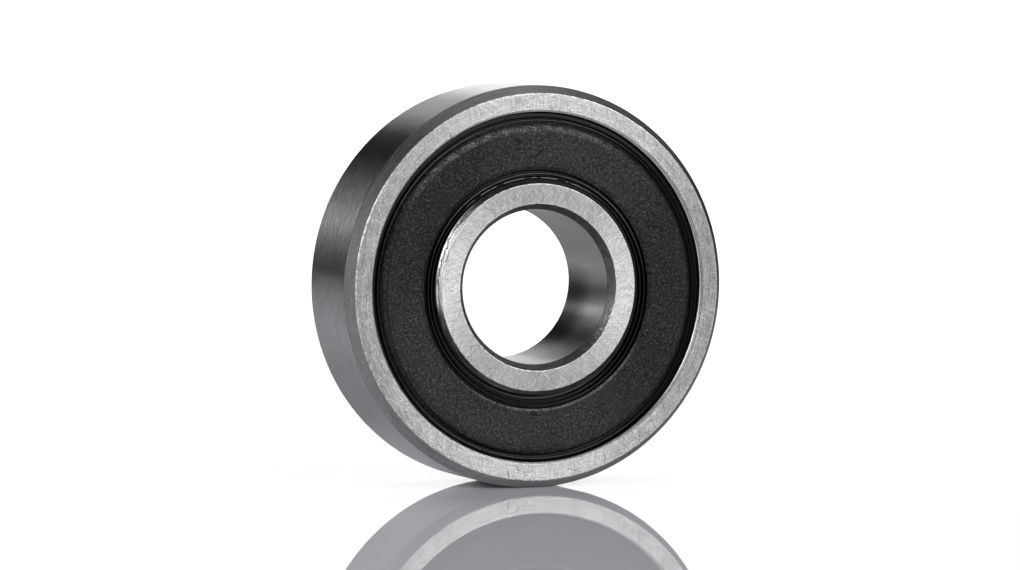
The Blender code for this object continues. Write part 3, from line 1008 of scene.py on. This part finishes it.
def on_circle(turns):
    """A point on the pitch circle, counted in turns from the top of the ring, in metres."""
    angle = math.tau * turns
    return Vector((math.sin(angle), 0, math.cos(angle))) * PITCH_RADIUS * MM


def mesh_of(shape, name):
    """The shape as a new mesh. The shape itself is freed."""
    mesh = bpy.data.meshes.new(name)
    shape.to_mesh(mesh)
    shape.free()
    return mesh


def laid_along_axis(shape, centre):
    """The shape's own Z axis is laid along Y and its middle moved to the centre."""
    bmesh.ops.rotate(shape, verts=shape.verts, matrix=Matrix.Rotation(math.pi / 2, 3, "X"))
    bmesh.ops.translate(shape, verts=shape.verts, vec=centre)
    return shape


def ball_mesh(name, centre):
    """A ball with its poles along the bearing's axis."""
    sphere = bmesh.new()
    bmesh.ops.create_uvsphere(sphere, u_segments=64, v_segments=32, radius=BALL_RADIUS * MM)
    mesh = mesh_of(laid_along_axis(sphere, centre), name)
    mesh.shade_smooth()
    return mesh


def ribbon_point(around, across, side):
    """A point of the cage sheet's middle surface, in metres.

    around counts ball pitches from the ring's top, and a pocket's dome is centred on each whole
    number. across runs from 0 at the ribbon's inner edge to 1 at its outer edge.
    """
    pocket = round(around)
    phase = 2 * (around - pocket)
    radius = CAGE_INNER_RADIUS + across * (CAGE_OUTER_RADIUS - CAGE_INNER_RADIUS)
    dome_radius = BALL_RADIUS + POCKET_CLEARANCE + SHEET / 2
    crown = math.sqrt(dome_radius**2 - (radius - PITCH_RADIUS) ** 2)
    foot_tilt = math.acos(TAB_HEIGHT / crown)
    height = crown * math.cos(foot_tilt * min(abs(phase) / DOME_SHARE, 1))
    reach = dome_radius**2 - height**2
    cosine = (radius**2 + PITCH_RADIUS**2 - reach) / (2 * radius * PITCH_RADIUS)
    angle = math.acos(min(cosine, 1))
    if abs(phase) > DOME_SHARE:
        tab_share = (abs(phase) - DOME_SHARE) / (1 - DOME_SHARE)
        angle += tab_share * (math.pi / BALL_COUNT - angle)
    angle = math.tau * pocket / BALL_COUNT + math.copysign(angle, phase)
    return Vector((radius * math.sin(angle), -side * height, radius * math.cos(angle))) * MM


def cage_mesh(name, side):
    """One pressed half: the bent ribbon, thickened, drilled for its rivets and with broken edges."""
    ribbon = bmesh.new()
    bmesh.ops.create_grid(ribbon, x_segments=BALL_COUNT * POCKET_STEPS, y_segments=6, size=0.5)
    for vertex in ribbon.verts:
        vertex.co = ribbon_point((vertex.co.x + 0.5) * BALL_COUNT, vertex.co.y + 0.5, side)
    bmesh.ops.remove_doubles(ribbon, verts=ribbon.verts, dist=0.001 * MM)
    bmesh.ops.recalc_face_normals(ribbon, faces=ribbon.faces)
    blank = add_object(name + "_blank", mesh_of(ribbon, name))
    thicken = blank.modifiers.new("Sheet", "SOLIDIFY")
    thicken.thickness = SHEET * MM
    thicken.offset = 0
    thicken.use_even_offset = True
    drills = []
    for number in range(BALL_COUNT):
        drills.append(drill(number))
        cut = blank.modifiers.new("Rivet hole", "BOOLEAN")
        cut.operation = "DIFFERENCE"
        cut.object = drills[-1]
        cut.solver = "EXACT"
    edges = blank.modifiers.new("Broken edges", "BEVEL")
    edges.width = BROKEN_EDGE * MM
    edges.segments = 2
    edges.limit_method = "ANGLE"
    edges.angle_limit = math.radians(50)
    bpy.context.view_layer.update()
    graph = bpy.context.evaluated_depsgraph_get()
    mesh = bpy.data.meshes.new_from_object(blank.evaluated_get(graph))
    for helper in [blank, *drills]:
        bpy.data.objects.remove(helper)
    mesh.name = name
    return mesh


def drill(number):
    """A cylinder as wide as a rivet hole, through both tabs after the given pocket."""
    cylinder = bmesh.new()
    radius = RIVET_HOLE_RADIUS * MM
    depth = 6 * SHEET * MM
    bmesh.ops.create_cone(
        cylinder, cap_ends=True, segments=32, radius1=radius, radius2=radius, depth=depth
    )
    laid_along_axis(cylinder, on_circle((number + 0.5) / BALL_COUNT))
    return add_object("drill", mesh_of(cylinder, "drill"))


def rivet_mesh(name, number):
    """A shank with a domed head at each end, turned about its own axis and moved to its tab."""
    head_bottom = TAB_HEIGHT + SHEET / 2 + HEAD_GAP
    dome_steps = 6
    upper = []
    for step in range(dome_steps + 1):
        angle = math.pi / 2 * (1 - step / dome_steps)
        upper.append((HEAD_RADIUS * math.cos(angle), head_bottom + HEAD_HEIGHT * math.sin(angle)))
    upper.append((RIVET_RADIUS, head_bottom))
    points = upper + [(radius, -height) for radius, height in reversed(upper)]
    points[0] = (0.0, points[0][1])
    points[-1] = (0.0, points[-1][1])
    mesh = turned_mesh(name, (points, [0] * len(points)), steps=32, closed=False)
    shape = bmesh.new()
    shape.from_mesh(mesh)
    bmesh.ops.remove_doubles(shape, verts=shape.verts, dist=0.0001 * MM)
    bmesh.ops.recalc_face_normals(shape, faces=shape.faces)
    bmesh.ops.translate(shape, verts=shape.verts, vec=on_circle((number + 0.5) / BALL_COUNT))
    shape.to_mesh(mesh)
    shape.free()
    return mesh


# ---- the bearing


def add_rings():
    """Both rings, with their materials in the order of the finishes' numbers."""
    lapped = ground_face("outer_face", OUTER_STROKES, OUTER_SCRATCHES, 0.57, 0.25, 11.9, rim_wear_and_light)
    cross_ground = ground_face("inner_face", INNER_STROKES, INNER_SCRATCHES, 0.61, 0.0, 6.1, inner_rub_and_highlight)
    turned = turned_steel("turned_steel", 0.155, chamfer_light_and_flecks)
    rubbed_and_lit = turned_steel("rubbed_and_lit_steel", 0.17, land_wear_and_highlight)
    edge = polished_edge()
    outside = ground_round("outside_steel", 0.54, 0.215, outside_painted_reflection)
    bore = ground_round("bore_steel", 0.46, 0.33, bore_darkening)
    race = ground_round("raceway_steel", 0.7, 0.2)
    steels = [lapped, turned, outside, race, edge]
    mesh = turned_mesh("outer_ring_steel", rounded(outer_ring_outline(), bright=True))
    add_piece("outer_ring_steel", finished(mesh), steels, "outer_ring", "outer_ring")
    steels = [cross_ground, turned, bore, race, edge, rubbed_and_lit]
    mesh = turned_mesh("inner_ring_steel", rounded(inner_ring_outline(), bright=True))
    add_piece("inner_ring_steel", finished(mesh), steels, "inner_ring", "inner_ring")


def add_seals():
    """Both seals, with the rubber's materials in the order of its finishes' numbers, and inserts."""
    rubber = [moulded_rubber(), polished_rubber()]
    washer_steel = sheet_steel("insert_steel", 0.5, 0.42)
    for place, side in (("front", 1), ("rear", -1)):
        name = "rubber_" + place
        mesh = finished(lowered_seal(turned_mesh(name, seal_outline(), side)))
        add_piece(name, mesh, rubber, "outer_ring", "seal_rubber_" + place)
        name = "washer_" + place
        mesh = finished(turned_mesh(name, insert_outline(), side))
        add_piece(name, mesh, [washer_steel], "outer_ring", "seal_insert_" + place)


def add_balls_and_cage():
    """A ball and the rivet after it for each pocket, then the cage's two halves."""
    chrome = polished_ball()
    pressed = sheet_steel("cage_steel", 0.52, 0.38)
    upset = sheet_steel("rivet_steel", 0.58, 0.34)
    for number in range(BALL_COUNT):
        ball = f"ball_{number + 1}"
        mesh = ball_mesh("lapped_" + ball, on_circle(number / BALL_COUNT))
        add_piece("lapped_" + ball, mesh, [chrome], ball, ball)
        rivet = f"cage_rivet_{number + 1}"
        mesh = finished(rivet_mesh("domed_" + rivet, number))
        add_piece("domed_" + rivet, mesh, [upset], "cage", rivet)
    for place, side in (("front", 1), ("rear", -1)):
        name = "pressed_cage_" + place
        mesh = finished(cage_mesh(name, side))
        add_piece(name, mesh, [pressed], "cage", "cage_" + place)


# ---- stage


def add_floor(low):
    """A glossy pale plate under the bearing that mirrors it at a low angle."""
    look = Look("floor_plate")
    tree = look.tree
    tree.nodes.remove(look.surface)
    diffuse = look.node("ShaderNodeBsdfDiffuse", {"Color": (0.78, 0.8, 0.84, 1)})
    gloss = look.node("ShaderNodeBsdfGlossy", {"Color": (1, 1, 1, 1), "Roughness": 0.0})
    fresnel = look.node("ShaderNodeFresnel", {"IOR": 1.35}).outputs[0]
    share = look.times(fresnel, 0.92)
    mixed = look.node("ShaderNodeMixShader", {0: share, 1: diffuse.outputs[0], 2: gloss.outputs[0]})
    look.feed(tree.nodes["Material Output"].inputs["Surface"], mixed.outputs[0])
    plate = bpy.data.meshes.new("floor")
    reach = 3.0
    corners = [(-reach, -reach, low), (reach, -reach, low), (reach, reach, low), (-reach, reach, low)]
    plate.from_pydata(corners, [], [(0, 1, 2, 3)])
    plate.materials.append(look.material)
    floor = add_object("floor", plate)


def add_camera(centre):
    """A long lens from the front, a little to the left and just above the floor."""
    back = Vector(
        (
            math.sin(CAMERA_AZIMUTH) * math.cos(CAMERA_ELEVATION),
            -math.cos(CAMERA_AZIMUTH) * math.cos(CAMERA_ELEVATION),
            math.sin(CAMERA_ELEVATION),
        )
    )
    right = Vector((math.cos(CAMERA_AZIMUTH), math.sin(CAMERA_AZIMUTH), 0))
    up = back.cross(right)
    lens = bpy.data.cameras.new("camera")
    lens.lens = CAMERA_LENS
    lens.sensor_width = 36
    lens.clip_start = 0.01
    lens.clip_end = 20
    camera = add_object("camera", lens)
    turn = Matrix((right, up, back)).transposed().to_4x4()
    place = centre + back * CAMERA_DISTANCE - right * CAMERA_LEFT - up * CAMERA_DOWN
    camera.matrix_world = Matrix.Translation(place) @ turn
    bpy.context.scene.camera = camera


def add_world():
    """A dark room with plain soft boxes round the bearing, which the camera itself sees as white."""
    world = bpy.data.worlds.new("studio")
    world.use_nodes = True
    bpy.context.scene.world = world
    look = Look.of_tree(world.node_tree)
    background = world.node_tree.nodes["Background"]
    direction = look.node("ShaderNodeTexCoord").outputs["Generated"]
    parts = look.node("ShaderNodeSeparateXYZ", {0: direction}).outputs
    azimuth = look.math("DEGREES", look.math("ARCTAN2", parts[0], parts[1]))
    elevation = look.math("DEGREES", look.math("ARCSINE", parts[2]))
    level = ROOM_LEVEL
    for centre, half_width, lowest, highest, fade, brightness in SOFT_BOXES.values():
        aside = look.math("WRAP", look.math("SUBTRACT", azimuth, centre), 180.0, -180.0)
        wide = look.grade(look.math("ABSOLUTE", aside), half_width, half_width + fade, 1.0, 0.0)
        tall = look.band(elevation, lowest, highest, fade)
        box = look.times(wide, tall)
        level = look.math("MULTIPLY_ADD", box, brightness, level)
    seen = look.node("ShaderNodeLightPath").outputs["Is Camera Ray"]
    background.inputs["Color"].default_value = (1, 1, 1, 1)
    look.feed(background.inputs["Strength"], look.blend(seen, level, CAMERA_WHITE))


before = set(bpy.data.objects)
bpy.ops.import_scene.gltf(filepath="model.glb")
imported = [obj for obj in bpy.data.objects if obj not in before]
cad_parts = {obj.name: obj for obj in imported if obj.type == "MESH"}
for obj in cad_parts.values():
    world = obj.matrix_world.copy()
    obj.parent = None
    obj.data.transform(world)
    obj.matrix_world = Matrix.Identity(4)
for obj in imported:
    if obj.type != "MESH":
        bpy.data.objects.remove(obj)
cad_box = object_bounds()
low_corner, high_corner = cad_box
centre = (Vector(low_corner) + Vector(high_corner)) / 2

add_camera(centre)
add_floor(low_corner[2])
add_world()
add_rings()
add_seals()
add_balls_and_cage()
bpy.context.scene.view_settings.view_transform = "Standard"
